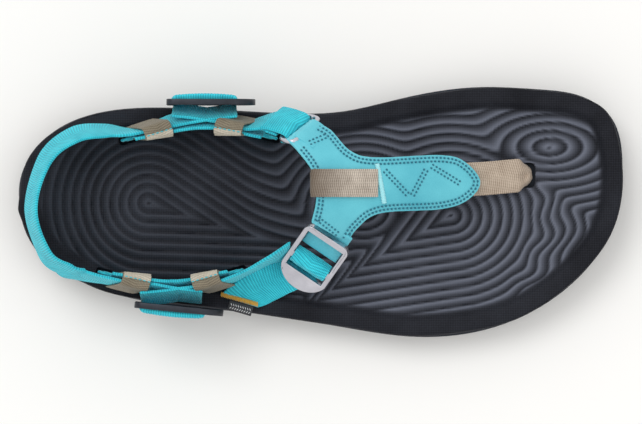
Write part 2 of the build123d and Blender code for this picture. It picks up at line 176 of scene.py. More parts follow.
def top_foam():
    """Dark foam with a 45 degree woven emboss between the ridges, and painted highlights on the ridge crests that
    grow brighter toward the forefoot.
    """
    f = Finish("footbed_foam", Specular_IOR_Level=0.14)
    x, y, _ = f.axes(f.node("TexCoord", output=3))
    turn = 2 * math.pi / (1.15 * MM) * 0.7071
    one = f.math("SINE", (x + y) * turn)
    other = f.math("SINE", (x - y) * turn)
    weave = one * other * 0.5 + 0.5
    fine = f.noise(1500.0, 3.0, 0.6)
    tone = f.noise(30.0, 3.0, 0.6)
    # crest is the ridge height, used below to paint highlights on the ridge tops
    crest = f.node("Attribute", output=2, attribute_name="crest")
    # painted highlight: the ridge crests are lightened as if light caught them
    crest_highlight = f.math("POWER", crest, 3.0)
    # painted sheen: the crest highlights grow from heel to forefoot, standing in for the forefoot slopes catching
    # the light
    front = f.node("MapRange", {0: x, 1: -0.045, 2: 0.03, 3: 0.12, 4: 0.55})
    shade = weave * 0.12 + tone * 0.20 + fine * 0.10 + crest_highlight * front * 0.55 + crest * front * 0.7 - 0.16
    shade = f.math("MINIMUM", f.math("MAXIMUM", shade, 0.0), 1.0)
    normal = f.bump(weave + fine * 0.4, 0.5, 0.00025)
    return f.feed(f.blend(shade, linear(10, 11, 18), linear(118, 123, 138)), 0.5 + fine * 0.2, normal)


def moulded(name, dark, light, scale, rough):
    """Plain moulded rubber or foam with a fine skin and faint dust."""
    f = Finish(name, Specular_IOR_Level=0.14)
    fine = f.noise(scale, 3.0, 0.6)
    tone = f.noise(45.0, 3.0, 0.6)
    shade = fine * 0.4 + tone * 0.7 - 0.1
    return f.feed(f.blend(shade, dark, light), rough + fine * 0.2, f.bump(fine, 0.35, 0.0003))


def metal(name, dark, light, rough, metallic):
    """Plated metal with faint brushing and small rubbed patches."""
    f = Finish(name, Metallic=metallic)
    place = f.node("TexCoord", output=3)
    stretched = f.node("Mapping", {"Vector": place, "Scale": (1.0, 1.0, 7.0)})
    brush = f.noise(700.0, 4.0, 0.7, stretched)
    rub = f.noise(120.0, 3.0, 0.6)
    normal = f.bump(brush, 0.12, 0.00012)
    return f.feed(f.blend(rub * 0.7 + brush * 0.4 - 0.05, dark, light), rough + brush * 0.16, normal)


def thread(name, dark, light):
    """Twisted sewing thread."""
    f = Finish(name, Sheen_Weight=0.3)
    fine = f.noise(3000.0, 2.0, 0.6)
    return f.feed(f.blend(fine, dark, light), 0.55 + fine * 0.2, f.bump(fine, 0.4, 0.0001))


def knit():
    """Black knitted lining."""
    f = Finish("yoke_lining", Specular_IOR_Level=0.2)
    x, y, _ = f.axes(f.node("TexCoord", output=3))
    turn = 2 * math.pi / (0.9 * MM)
    loops = f.math("SINE", x * turn) * f.math("SINE", y * turn) * 0.5 + 0.5
    fuzz = f.noise(2500.0)
    shade = loops * 0.6 + fuzz * 0.5 - 0.1
    normal = f.bump(loops + fuzz, 0.5, 0.0003)
    return f.feed(f.blend(shade, linear(10, 10, 13), linear(40, 42, 48)), fuzz * 0.15 + 0.8, normal)


TEAL = webbing("teal_webbing", linear(0, 128, 154), linear(70, 238, 252))
TAN = webbing("tan_webbing", linear(84, 76, 62), linear(158, 148, 128), rib=1.0)
TAN_TOE = webbing("toe_webbing", linear(118, 98, 80), linear(220, 204, 186), rib=1.0)
# painted shade: the pull webbing darkens toward its rear, where it wraps down over the yoke's edge
TAN_PULL = webbing("pull_webbing", linear(88, 74, 60), linear(226, 214, 200), rib=1.0, painted_shade_span=(-7.0, 16.0))
BUFF = webbing("buff_webbing", linear(150, 140, 122), linear(222, 214, 198), rib=0.9)
LEATHER = microfibre()
FOAM_TOP = top_foam()
FOAM = moulded("midsole_foam", linear(14, 18, 24), linear(36, 41, 50), 900.0, 0.62)
RUBBER = moulded("outsole_rubber", linear(40, 44, 52), linear(78, 83, 92), 700.0, 0.6)
PLASTIC = moulded("anchor_plastic", linear(22, 22, 24), linear(46, 46, 50), 800.0, 0.5)
# painted reflection: the same dark plated metal as the side slides, coloured silver where the yoke buckle and ring
# face up to the bright sky
GUNMETAL_PAINTED_REFLECTION = metal("silver_metal", linear(168, 168, 176), linear(228, 226, 234), 0.26, 1.0)
DARK = metal("dark_metal", linear(30, 32, 37), linear(70, 74, 82), 0.3, 0.8)
LINING = knit()
TEAL_THREAD = thread("teal_thread", linear(0, 88, 110), linear(0, 126, 148))
BRIGHT_THREAD = thread("keeper_thread", linear(30, 150, 168), linear(80, 205, 218))
WHITE_THREAD = thread("white_thread", linear(170, 170, 172), linear(228, 228, 230))
PALE_THREAD = thread("pale_thread", linear(120, 212, 224), linear(196, 246, 250))
GOLD_THREAD = thread("yellow_thread", linear(178, 126, 24), linear(226, 176, 62))
LABEL = thread("label_cloth", linear(14, 15, 18), linear(48, 50, 56))


# ------------------------------------------------------------------ tools

def unselect():
    if bpy.context.object and bpy.context.object.mode != "OBJECT":
        bpy.ops.object.mode_set(mode="OBJECT")
    bpy.ops.object.select_all(action="DESELECT")


def finish_piece(piece, body, material, nodes=(), angle=40):
    """Names the finish, settles the shading and ties the piece to its body."""
    unselect()
    piece.select_set(True)
    bpy.context.view_layer.objects.active = piece
    bpy.ops.object.mode_set(mode="EDIT")
    bpy.ops.mesh.select_all(action="SELECT")
    bpy.ops.mesh.normals_make_consistent(inside=False)
    bpy.ops.object.mode_set(mode="OBJECT")
    bpy.ops.object.shade_smooth_by_angle(angle=math.radians(angle))
    piece.data.materials.clear()
    piece.data.materials.append(material)
    if body:
        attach(piece, body)
    if nodes:
        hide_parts(*nodes)
    return piece


def blank(name, columns, rows, wall_cuts=0):
    """A closed slab from a grid: x and y run from -1 to 1, and z from -1 at the bottom to 0."""
    unselect()
    bpy.ops.mesh.primitive_grid_add(x_subdivisions=columns, y_subdivisions=rows, size=2)
    piece = bpy.context.object
    piece.name = name
    bpy.ops.object.mode_set(mode="EDIT")
    bpy.ops.mesh.select_all(action="SELECT")
    bpy.ops.mesh.extrude_region_move(TRANSFORM_OT_translate={"value": (0, 0, -1)})
    if wall_cuts:
        bpy.ops.mesh.select_all(action="DESELECT")
        bpy.ops.object.mode_set(mode="OBJECT")
        points = corners(piece)
        ends = np.empty(len(piece.data.edges) * 2, dtype=np.int32)
        piece.data.edges.foreach_get("vertices", ends)
        ends = ends.reshape(-1, 2)
        upright = np.abs(points[ends[:, 0], 2] - points[ends[:, 1], 2]) > 0.5
        piece.data.edges.foreach_set("select", upright)
        bpy.ops.object.mode_set(mode="EDIT")
        bpy.ops.mesh.select_mode(type="EDGE")
        bpy.ops.mesh.subdivide(number_cuts=wall_cuts)
        bpy.ops.mesh.select_mode(type="VERT")
    bpy.ops.object.mode_set(mode="OBJECT")
    return piece


def corners(piece):
    points = np.empty(len(piece.data.vertices) * 3)
    piece.data.vertices.foreach_get("co", points)
    return points.reshape(-1, 3)


def reshape(piece, points):
    """Moves the vertices to points, in millimetres."""
    piece.data.vertices.foreach_set("co", (points * MM).ravel())
    piece.data.update()


def curve(points, count, closed=False):
    """count points evenly spaced along a smooth curve through the given ones, with each one's share of the way."""
    points = np.array(points, dtype=float)
    if closed:
        padded = np.vstack([points[-1:], points, points[:2]])
    else:
        padded = np.vstack([2 * points[0] - points[1], points, 2 * points[-1] - points[-2]])
    steps = 40
    out = []
    marks = []
    for i in range(len(padded) - 3):
        a, b, c, d = padded[i:i + 4]
        t = np.linspace(0, 1, steps, endpoint=False)[:, None]
        square = (2 * a - 5 * b + 4 * c - d) * t**2
        cube = (3 * b - a - 3 * c + d) * t**3
        out.append(0.5 * (2 * b + (c - a) * t + square + cube))
        marks.append(i + t[:, 0])
    out = np.vstack(out + [padded[-2:-1]])
    marks = np.hstack(marks + [[len(padded) - 3]])
    gone = np.hstack([[0], np.cumsum(np.linalg.norm(np.diff(out, axis=0), axis=1))])
    wanted = np.linspace(0, gone[-1], count, endpoint=not closed)
    even = np.stack([np.interp(wanted, gone, out[:, k]) for k in range(out.shape[1])], axis=1)
    return even, np.interp(wanted, gone, marks), gone[-1]


def unit(vectors):
    return vectors / np.linalg.norm(vectors, axis=-1, keepdims=True)


def local(plane, points):
    """Points given in a plane's own axes, in the shared frame."""
    origin, x_axis, y_axis, z_axis = [np.array(value) for value in plane]
    points = np.array(points, dtype=float)
    return origin + points[:, :1] * x_axis + points[:, 1:2] * y_axis + points[:, 2:3] * z_axis


STRAP_ROWS = 16
RIB_PITCH = 1.5
SCALLOP = 0.16


def strap(name, route, across, width=WEB_WIDTH, thickness=WEB, square=True, step=0.45):
    """Webbing along a smooth route, with scalloped edges, a bead along each and low cross ribs."""
    _, _, length = curve(route, 2)
    count = max(6, int(length / step))
    piece = blank(name, count, STRAP_ROWS)
    centre, marks, length = curve(route, count + 1)
    across = unit(np.array(across, dtype=float))
    low = np.minimum(marks.astype(int), len(across) - 2)
    share = (marks - low)[:, None]
    side = across[low] * (1 - share) + across[low + 1] * share
    tangent = unit(np.gradient(centre, axis=0))
    if square:
        side = side - tangent * np.sum(side * tangent, axis=1, keepdims=True)
    side = unit(side)
    face = unit(np.cross(tangent, side))
    uvw = corners(piece)
    index = np.rint((uvw[:, 0] + 1) / 2 * count).astype(int)
    along = index / count * length
    v = np.sin(uvw[:, 1] * math.pi / 2)
    top = np.where(uvw[:, 2] > -0.5, 1.0, -1.0)
    scallop = SCALLOP * np.abs(np.sin(math.pi * along / RIB_PITCH))
    reach = v * (width / 2 - SCALLOP) + np.sign(v) * scallop * np.abs(v) ** 8
    bead = 1.0 - 0.30 * np.exp(-((np.abs(v) - 0.84) / 0.05) ** 2)
    rounding = np.sqrt(np.maximum(0.0, 1 - np.abs(v) ** 14)) * 0.8 + 0.2
    ribs = 1 + 0.06 * np.sin(2 * math.pi * along / RIB_PITCH + top) * (1 - np.abs(v) ** 6)
    ends = np.minimum(along, length - along)
    taper = np.clip(ends / 0.6, 0.45, 1.0)
    height = top * thickness / 2 * bead * rounding * ribs * taper
    points = centre[index] + side[index] * reach[:, None] + face[index] * height[:, None]
    reshape(piece, points)
    mark_uv(piece, along * MM, v * width / 2 * MM)
    return piece


def mark_uv(piece, along, across):
    """Stores where each corner lies on the cloth, in metres."""
    layer = piece.data.uv_layers.new(name="strip")
    for extra in [item for item in piece.data.uv_layers if item.name != "strip"]:
        piece.data.uv_layers.remove(extra)
    layer = piece.data.uv_layers["strip"]
    which = np.empty(len(piece.data.loops), dtype=np.int32)
    piece.data.loops.foreach_get("vertex_index", which)
    layer.data.foreach_set("uv", np.stack([along[which], across[which]], axis=1).ravel())


def join(name, pieces):
    unselect()
    for piece in pieces:
        piece.select_set(True)
    bpy.context.view_layer.objects.active = pieces[0]
    bpy.ops.object.join()
    pieces[0].name = name
    return pieces[0]


def sew(name, places, length, radius, material, body, nodes=()):
    """Stitches: one rounded thread, copied to each (middle, direction, normal), in millimetres."""
    unselect()
    bpy.ops.mesh.primitive_uv_sphere_add(segments=8, ring_count=5, radius=1)
    piece = bpy.context.object
    piece.name = name
    one = corners(piece)
    faces = [list(face.vertices) for face in piece.data.polygons]
    points = []
    polygons = []
    for number, (middle, along, normal) in enumerate(places):
        along = unit(np.array(along, dtype=float))
        side = unit(np.cross(normal, along))
        up = np.cross(along, side)
        lift = one[:, 2:3] * length / 2
        bow = radius * 0.5 * (1 - one[:, 2:3] ** 2)
        thick = side * one[:, :1] * radius + up * (one[:, 1:2] * radius + bow)
        points.append(np.array(middle) + along * lift + thick)
        polygons += [[index + number * len(one) for index in face] for face in faces]
    mesh = bpy.data.meshes.new(name)
    mesh.from_pydata((np.vstack(points) * MM).tolist(), [], polygons)
    piece.data = mesh
    return finish_piece(piece, body, material, nodes)


def copy_node(node, name):
    """A clean copy of a CAD node's mesh as a new piece."""
    unselect()
    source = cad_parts[node]
    piece = bpy.data.objects.new(name, source.data.copy())
    bpy.context.scene.collection.objects.link(piece)
    piece.select_set(True)
    bpy.context.view_layer.objects.active = piece
    bpy.ops.object.mode_set(mode="EDIT")
    bpy.ops.mesh.select_all(action="SELECT")
    bpy.ops.mesh.remove_doubles(threshold=0.00001)
    bpy.ops.mesh.dissolve_limited(angle_limit=math.radians(3))
    bpy.ops.object.mode_set(mode="OBJECT")
    return piece


def apply_modifier(piece, kind, **settings):
    unselect()
    piece.select_set(True)
    bpy.context.view_layer.objects.active = piece
    modifier = piece.modifiers.new(kind, kind)
    for key, value in settings.items():
        setattr(modifier, key, value)
    bpy.ops.object.modifier_apply(modifier=modifier.name)


CAST_RIM = 0.7
CAST_SINK = 0.25
CAST_EDGE = 0.3


def hardware(node, name, plane, body, material):
    """A cast frame: thin raised rims round a sunken face on both sides, and rounded edges."""
    piece = copy_node(node, name)
    normal = Vector(plane[3])
    bpy.ops.object.mode_set(mode="EDIT")
    for sign in (1, -1):
        bpy.ops.mesh.select_all(action="DESELECT")
        bpy.ops.object.mode_set(mode="OBJECT")
        for face in piece.data.polygons:
            face.select = face.normal.dot(normal) * sign > 0.99
        bpy.ops.object.mode_set(mode="EDIT")
        bpy.ops.mesh.select_mode(type="FACE")
        bpy.ops.mesh.inset(thickness=CAST_RIM * MM, depth=-CAST_SINK * MM, use_even_offset=True)
    bpy.ops.object.mode_set(mode="OBJECT")
    apply_modifier(
        piece, "BEVEL", width=CAST_EDGE * MM, segments=3, limit_method="ANGLE", angle_limit=math.radians(35),
    )
    return finish_piece(piece, body, material, [node], 50)


# ------------------------------------------------------------------ sole

OUTLINE = [
    (-1.000, 0.095), (-0.972, 0.418), (-0.880, 0.654), (-0.731, 0.798),
    (-0.532, 0.837), (-0.134, 0.793), (0.065, 0.803), (0.264, 0.907),
    (0.524, 1.000), (0.728, 0.981), (0.861, 0.929), (0.960, 0.764),
    (1.000, 0.331), (0.980, -0.066), (0.905, -0.389), (0.761, -0.711),
    (0.587, -0.915), (0.317, -1.000), (0.065, -0.919), (-0.267, -0.800),
    (-0.632, -0.689), (-0.797, -0.557), (-0.930, -0.346), (-0.993, -0.051),
]
edge_points, _, _ = curve([(x * HALF_LENGTH, y * HALF_WIDTH) for x, y in OUTLINE], 900, closed=True)
edge_angles = np.arctan2(edge_points[:, 1] / HALF_WIDTH, edge_points[:, 0] / HALF_LENGTH)
edge_radii = np.hypot(edge_points[:, 1] / HALF_WIDTH, edge_points[:, 0] / HALF_LENGTH)
edge_order = np.argsort(edge_angles)


def smooth(value, low, high):
    share = np.clip((value - low) / (high - low), 0, 1)
    return share * share * (3 - 2 * share)


def ground_rise(x):
    toe, heel = 0.35 * HALF_LENGTH, -0.83 * HALF_LENGTH
    toe_run, heel_run = HALF_LENGTH - toe, HALF_LENGTH + heel
    toe_radius = (toe_run**2 + TOE_SPRING**2) / (2 * TOE_SPRING)
    heel_radius = (heel_run**2 + HEEL_SPRING**2) / (2 * HEEL_SPRING)
    front = toe_radius - np.sqrt(toe_radius**2 - np.clip(x - toe, 0, None) ** 2)
    back = heel_radius - np.sqrt(heel_radius**2 - np.clip(heel - x, 0, None) ** 2)
    return front + back


def midsole_top(x):
    return ground_rise(x) + OUTSOLE_TOP + MIDSOLE_HEEL - MIDSOLE_DROP * smooth(x / HALF_LENGTH, -0.63, 0.35)


def rim_top(x):
    return midsole_top(x) + FOOTBED


def sole_plan(u, v):
    """The blank's square spread over the sole's outline, in millimetres."""
    x = u * np.sqrt(1 - v * v / 2)
    y = v * np.sqrt(1 - u * u / 2)
    angle = np.arctan2(y, x)
    radius = np.interp(angle, edge_angles[edge_order], edge_radii[edge_order], period=2 * math.pi)
    return x * radius * HALF_LENGTH, y * radius * HALF_WIDTH


def edge_distance(x, y):
    """How far each point is in from the sole's outline."""
    best = np.full(len(x), 1e9)
    for px, py in edge_points[::2]:
        best = np.minimum(best, (x - px) ** 2 + (y - py) ** 2)
    return np.sqrt(best)


def rings(x, y, middle, pitch, stretch):
    """Levels round a peak, one for each pitch."""
    return np.hypot((x - middle[0]) / stretch, y - middle[1]) / pitch


def heel_levels(x, y):
    """Teardrop loops: round at the back, with a point toward the toe where slanted and level lines meet."""
    dx, dy = x + 82.0, y - 4.2
    slant = 0.66 * np.minimum(dx, 44.0) + 14.0 * (1 - np.exp(-np.maximum(dx - 44.0, 0) * 0.66 / 14.0))
    upper = 0.835 * dy + 0.55 * slant / 0.66
    lower = -dy - 0.04 * np.maximum(dx, 0)
    flat = np.maximum(upper, lower)
    angle = np.degrees(np.arctan2(dy, dx))
    back = (angle > 56.6) | (angle < -92.0)
    return np.where(back, np.hypot(dx, dy), flat) / 4.5 + np.maximum(0, x - 4.0) / 9.0


def ball_levels(x, y):
    """Loops under the ball, with a corner toward the lateral heel and waves toward the small toes."""
    dx, dy = (x - 62.0) / 1.12, y + 1.6
    slanted = -0.83 * dx + 0.56 * dy
    corner = np.maximum(slanted + 0.8 * np.maximum(0, slanted - 17.0), 0.17 * dx - 0.985 * dy)
    radius = np.hypot(dx, dy)
    angle = np.degrees(np.arctan2(dy, dx))
    inside = (angle < -80.2) | (angle > 146.0)
    level = np.where(inside, corner, radius) / PITCH
    toes = smooth(radius, 30, 42) * smooth(x, 84, 102) * (1 - smooth(y, 8, 22))
    return level + 0.34 * toes * np.sin(np.radians(angle) * 14.0 + 1.0 + 0.9 * np.sin(radius / 5.0))


MEETING = 2.6


def relief(x, y):
    """Height of the contour ridges: a steep side and a long side to each level."""
    families = [
        heel_levels(x, y), ball_levels(x, y), rings(x, y, (20.0, 2.0), 4.0, 1.2) + 0.4,
        rings(x, y, (109.0, 30.8), 3.9, 1.9) + 5.0,
    ]
    total = sum(np.exp(-MEETING * family) for family in families)
    level = -np.log(total + 1e-30) / MEETING
    wave = level - np.floor(level)
    return np.where(wave < 0.24, smooth(wave, 0.0, 0.24), 1 - np.clip((wave - 0.30) / 0.70, 0, 1) ** 1.1)


def make_footbed():
    """The top sheet: smooth border, dished ridges, a hollow round the toe hole, and the slots cut out."""
    piece = blank("footbed_relief", 316, 132, 4)
    uvw = corners(piece)
    x, y = sole_plan(uvw[:, 0], uvw[:, 1])
    depth = edge_distance(x, y)
    wall = np.maximum(np.abs(uvw[:, 0]), np.abs(uvw[:, 1])) > 0.9999
    depth = np.where(wall, 0.0, depth)
    z = rim_top(x) - DISH * smooth(depth, 6.5, 10.0)
    z = z - 0.9 * (1 - np.sqrt(1 - (1 - np.clip(depth / 1.6, 0, 1)) ** 2))
    z = z + RIDGE * (relief(x, y) - 0.35) * smooth(depth, *BORDER)
    around = np.degrees(np.arctan2(y - TOE_HOLE[1], x - TOE_HOLE[0]))
    ring = np.hypot(x - TOE_HOLE[0], y - TOE_HOLE[1])
    z = z - 1.3 * np.exp(-((ring - 10.0) / 1.3) ** 2) * smooth(around, 60, 90) * (1 - smooth(around, 125, 160))
    z = z - 2.2 * np.exp(-(ring / 6.0) ** 2)
    bottom = midsole_top(x)
    lower = uvw[:, 2] < -0.0001
    share = -uvw[:, 2]
    side_z = (rim_top(x) - 0.9) * (1 - share) + bottom * share
    z = np.where(lower, np.where(wall, side_z, bottom), z)
    swell = np.where(wall & lower, 0.35 * np.sin(share * math.pi), 0.0)
    centre = np.hypot(x, y) + 1e-6
    x, y = x + swell * x / centre, y + swell * y / centre
    # ridge height stored as the crest attribute; the foam finish paints highlights on the crests from it
    crest = np.where(lower, 0.0, relief(x, y) * smooth(depth, *BORDER))
    mark = piece.data.attributes.new("crest", "FLOAT", "POINT")
    mark.data.foreach_set("value", crest)
    reshape(piece, np.stack([x, y, z], axis=1))
    for cutter in slot_cutters():
        cut(piece, cutter)
    return finish_piece(piece, SOLE, FOAM_TOP, ["footbed"], 60)


SLOTS = {
    "rear_medial": (-85.13, 36.41, 15), "front_medial": (-30.13, 37.21, -14),
    "rear_lateral": (-96.17, -30.84, -15), "front_lateral": (-46.17, -30.04, 16),
}
TOE_HOLE = (99.09, 17.49)


def rounded_box(name, place, turn, size, radius=1.4):
    unselect()
    bpy.ops.mesh.primitive_cube_add(
        size=1, location=[value * MM for value in place], rotation=(0, 0, math.radians(turn)),
    )
    piece = bpy.context.object
    piece.name = name
    piece.scale = [value * MM for value in size]
    bpy.ops.object.transform_apply(location=True, rotation=True, scale=True)
    apply_modifier(piece, "BEVEL", width=radius * MM, segments=4, limit_method="NONE")
    return piece


def slot_cutters():
    out = []
    for name, (x, y, turn) in SLOTS.items():
        out.append(rounded_box(name, (x, y, 30), turn, (22.4, 4.2, 40)))
    out.append(rounded_box("toe_cut", (*TOE_HOLE, 30), 0, (6.0, 12.0, 40), 2.6))
    return out


def cut(piece, cutter):
    apply_modifier(piece, "BOOLEAN", operation="DIFFERENCE", solver="MANIFOLD", object=cutter)
    bpy.data.objects.remove(cutter)


def make_midsole():
    """Foam with a hollowed, grooved sidewall."""
    piece = blank("midsole_body", 150, 62, 17)
    uvw = corners(piece)
    x, y = sole_plan(uvw[:, 0], uvw[:, 1])
    wall = np.maximum(np.abs(uvw[:, 0]), np.abs(uvw[:, 1])) > 0.9999
    share = -uvw[:, 2]
    low = ground_rise(x) + OUTSOLE_TOP
    high = midsole_top(x)
    z = np.where(wall, high * (1 - share) + low * share, np.where(uvw[:, 2] < -0.5, low, high))
    waves = 0.25 * np.abs(np.sin(share * 3 * math.pi)) ** 0.5
    inset = 1.3 * np.sin(share * math.pi) - waves * np.sin(share * math.pi) * 1.4
    flute = 0.30 * np.maximum(0, np.sin((x + y * 0.2) / 3.4))
    flute = flute * np.sin(share * math.pi) ** 2 * smooth(share, 0.3, 0.5)
    pull = np.where(wall, inset + flute, 0.0)
    centre = np.hypot(x, y * 2.0) + 1e-6
    x, y = x - pull * x / centre, y - pull * y * 2.0 / centre
    reshape(piece, np.stack([x, y, z], axis=1))
    return finish_piece(piece, SOLE, FOAM, ["midsole"], 50)


# ------------------------------------------------------------------ anchors, keepers and running straps

LEAN = {"medial": (0, -0.18, 1), "lateral": (0, 0.18, 1)}
OPEN_LEAN = {"medial": (0, -0.34, 1), "lateral": (0, 0.34, 1)}
BASES = {"medial": np.array((-55.132, 42.408, 33.953)), "lateral": np.array((-70.168, -35.34, 34.306))}


def side_points(side, offsets):
    return [tuple(BASES[side] + np.array((*offset, 0.0)[:3])) for offset in offsets]


def make_anchor(side, bulge):
    """The short webbing of one side: a run between the keepers and a leg down into each slot."""
    rear, front = SLOTS["rear_" + side], SLOTS["front_" + side]
    middle = BASES[side]
    level = middle[2]
    run = [
        (rear[0] - 3, rear[1] - bulge * 0.8, level), (rear[0], rear[1], level), tuple(middle),
        (front[0], front[1], level), (front[0] + 3, front[1] - bulge * 0.8, level),
    ]
    ends = [LEAN[side]] * 2
    pieces = [strap(side + "_run", run, ends + [OPEN_LEAN[side]] + ends)]
    for x, y, turn in (rear, front):
        along = (math.cos(math.radians(turn)), math.sin(math.radians(turn)), 0)
        leg = [(x, y, 17.0), (x, y, 22.0), (x, y, 28.5)]
        pieces.append(strap(side + "_leg", leg, [along] * 3, 20.0))
    piece = join(side + "_anchor_webbing", pieces)
    finish_piece(piece, SOLE, TEAL, [side + "_anchor_strap"])


KEEPERS = {
    "rear_medial": ("medial", -26.0, -3.3, 18, 0.38, 0.0),
    "front_medial": ("medial", 17.5, -1.4, -11, -0.45, 1.4),
    "rear_lateral": ("lateral", -21.0, 1.8, -14, 0.36, 0.0),
    "front_lateral": ("lateral", 19.6, 2.2, 17, -0.28, 0.8),
}


def keeper_plane(side, dx, dy, turn, slant):
    a = math.radians(turn)
    x_axis = np.array((math.cos(a), math.sin(a), 0.0))
    y_axis = unit(np.cross(LEAN[side], x_axis))
    return BASES[side] + np.array((dx, dy, 0)), x_axis, y_axis, np.cross(x_axis, y_axis) + slant * x_axis


def make_keeper(name, side, dx, dy, turn, slant, lift):
    """A band folded over both straps, with a stitched flap on the foot side."""
    plane = keeper_plane(side, dx, dy, turn, slant)
    inward = -1 if side == "medial" else 1
    top = 10.7 + lift
    half = [(0, 2.7, -9.8), (0, 2.8, -3), (0, 2.8, 4), (0, 2.7, top - 2.0), (0, 1.7, top - 0.4)]
    route = half + [(0, 0, top)] + [(0, -y, z) for _, y, z in reversed(half)]
    band = strap(name, local(plane, route), [plane[1]] * len(route), 13.4, 1.1, square=False)
    flap_route = [(0, inward * 0.9, top + 0.75), (0, inward * 2.6, top + 0.35), (0, inward * 4.1, top - 0.9)]
    flap = strap(name + "_flap", local(plane, flap_route), [plane[1]] * 3, 13.0, 0.9, step=0.3)
    finish_piece(band, SOLE, TAN, [name + "_keeper"])
    finish_piece(flap, SOLE, BUFF)
    spots = []
    for i in range(6):
        spot = local(plane, [(-5.5 + i * 2.2, inward * 1.0, top + 1.25)])[0]
        spots.append((spot, plane[1], unit(plane[3])))
    sew(name + "_stitches", spots, 1.5, 0.3, BRIGHT_THREAD, SOLE)


def make_rear_webbing():
    """One length of webbing, from the medial slide round the heel to the lateral slide."""
    medial = side_points("medial", [(15.5, 5.6), (1, 3.8), (-15, 0.8), (-26, -2.5), (-37, -4.6)])
    heel = [
        (-102.53, 38.51, 33.95), (-116.2, 36.5, 37.45), (-129.7, 25.3, 42.95), (-136.6, 1.77, 45.95),
        (-130.2, -19.4, 43.3), (-120.7, -27.1, 38.3), (-113.47, -29.74, 34.31),
    ]
    lateral = side_points("lateral", [(-33, 3.4), (-21, 0.8), (-9, -1.4), (3, -3.6), (14, -5.0)])
    across = [OPEN_LEAN["medial"]] * 3 + [LEAN["medial"]] * 2 + [
        (0, -0.34, 1), (0.14, -0.42, 1), (0.30, -0.28, 1), (0.34, 0, 1),
        (0.24, 0.24, 1), (0.10, 0.32, 1), (0, 0.28, 1),
    ] + [LEAN["lateral"]] * 2 + [OPEN_LEAN["lateral"]] * 3
    piece = strap("rear_webbing", medial + heel + lateral, across)
    finish_piece(piece, None, TEAL, ["medial_rear_strap", "heel_strap", "lateral_rear_strap"])
    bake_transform(piece)


MEDIAL_SIDE = ((-71.132, 52.008, 33.953), (0, 0, 1), (1, 0, 0), (0, 1, 0))
LATERAL_SIDE = ((-86.168, -43.94, 34.306), (0, 0, -1), (0.995, -0.0993, 0), (-0.0993, -0.995, 0))
LATERAL_YOKE = (
    (3.572, -12.642, 48.293), (-0.828905, 0.558873, 0.024038),
    (-0.444731, -0.632329, -0.63433), (-0.33931, -0.536489, 0.772689),
)
MEDIAL_YOKE = (
    (-6.428, 38.258, 50.565), (0.574695, 0.535784, -0.618596),
    (-0.798047, 0.199512, -0.568609), (-0.181234, 0.820445, 0.542239),
)


def make_front_straps():
    """From each side slide, through the front keeper, to the ring and to the yoke's buckle."""
    ring_side = local(MEDIAL_YOKE, [(0, 21.0, 0.9), (0, 16.0, 0.8), (0, 11.4, 0.6)])
    offsets = [(-15, 5.8), (-5, 4.8), (4, 3.2), (12, 0.8), (20, -1.2, 0.6)]
    route = side_points("medial", offsets) + [tuple(point) for point in ring_side]
    turning = [(-0.42, -0.46, 0.78), (-0.54, -0.52, 0.66), (-0.575, -0.536, 0.619)]
    across = [OPEN_LEAN["medial"]] * 3 + [LEAN["medial"]] * 2 + turning
    medial = strap("medial_front_webbing", route, across)
    finish_piece(medial, None, TEAL, ["medial_front_strap"])
    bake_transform(medial)
    offsets = [(-15, -5.6), (-5, -4.8), (4, -3.4), (13.2, -1.0), (23, 1.4), (36, 7.2, 1.6)]
    route = side_points("lateral", offsets) + [(-24.0, -22.6, 36.2), (-14.6, -18.0, 34.0)]
    turning = [(0, 0.12, 1), (-0.08, 0.14, 1), (-0.25, 0.24, 0.9)]
    across = [OPEN_LEAN["lateral"]] * 3 + [LEAN["lateral"]] * 2 + turning
    lateral = strap("lateral_front_webbing", route, across)
    finish_piece(lateral, None, TEAL, ["lateral_front_strap"])
    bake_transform(lateral)


def fold_route(plane, start, end, depth, crest):
    """Up one side of a bar, over it and down the other, in the plane's own axes."""
    shoulder = crest - 1.1
    middle = (start + end) / 2
    return local(plane, [
        (0, start + 0.2, -depth), (0, start, 0), (0, start + 0.35, shoulder), (0, start + 1.8, crest),
        (0, middle, crest + 0.6), (0, end - 1.8, crest), (0, end - 0.35, shoulder), (0, end, 0),
        (0, end - 0.2, -depth),
    ])


def make_fold(name, plane, start, end, depth, crest, body, node, thickness=WEB):
    """Webbing over a bar, down through a slot on each side."""
    route = fold_route(plane, start + WEB / 2, end - WEB / 2, depth, crest)
    piece = strap(name, route, [plane[1]] * len(route), thickness=thickness, step=0.35)
    finish_piece(piece, body, TEAL, [node])


def make_ring_webbing():
    """The strap's end: over the ring's far bar, round it and back a little way underneath."""
    route = [
        (0, 9.4, -2.5), (0, 6.6, -2.3), (0, 5.2, -0.9), (0, 5.4, 1.0),
        (0, 7.0, 2.3), (0, 10.5, 2.8), (0, 15.0, 3.1), (0, 20.5, 2.9),
    ]
    piece = strap("medial_ring_webbing", local(MEDIAL_YOKE, route), [MEDIAL_YOKE[1]] * len(route))
    finish_piece(piece, "medial_ring", TEAL, ["medial_ring_fold"])


# ------------------------------------------------------------------ yoke

YOKE_X, YOKE_Y, NOSE_X = 30.07, 12.96, 75.07
YOKE_RADIUS = 34.0
YOKE_MESH = 0.45
ROWS = (1.4, 3.1)
ARM_END, ARM_REACH = -3.4, 25.0
YOKE_FRONT = [
    (-35.0, 30.6), (-25.5, 25.9), (-16.0, 15.9), (-4.1, 12.8), (26.8, 14.0), (38.6, 10.7),
    (45.8, 1.2), (39.6, -7.4), (26.8, -11.7), (-1.7, -13.6), (-12.7, -20.7), (-17.9, -28.8),
]
YOKE_REAR = [(-34.3, -18.1), (-32.1, -7.4), (-33.3, 5.0), (-41.2, 16.4), (-46.9, 22.0)]


def yoke_top(x):
    share = np.clip((NOSE_X - x) / 92.0, -0.2, 1.2)
    return 18.7 + 12.0 + 33.0 * np.sin(math.pi / 2 * share)


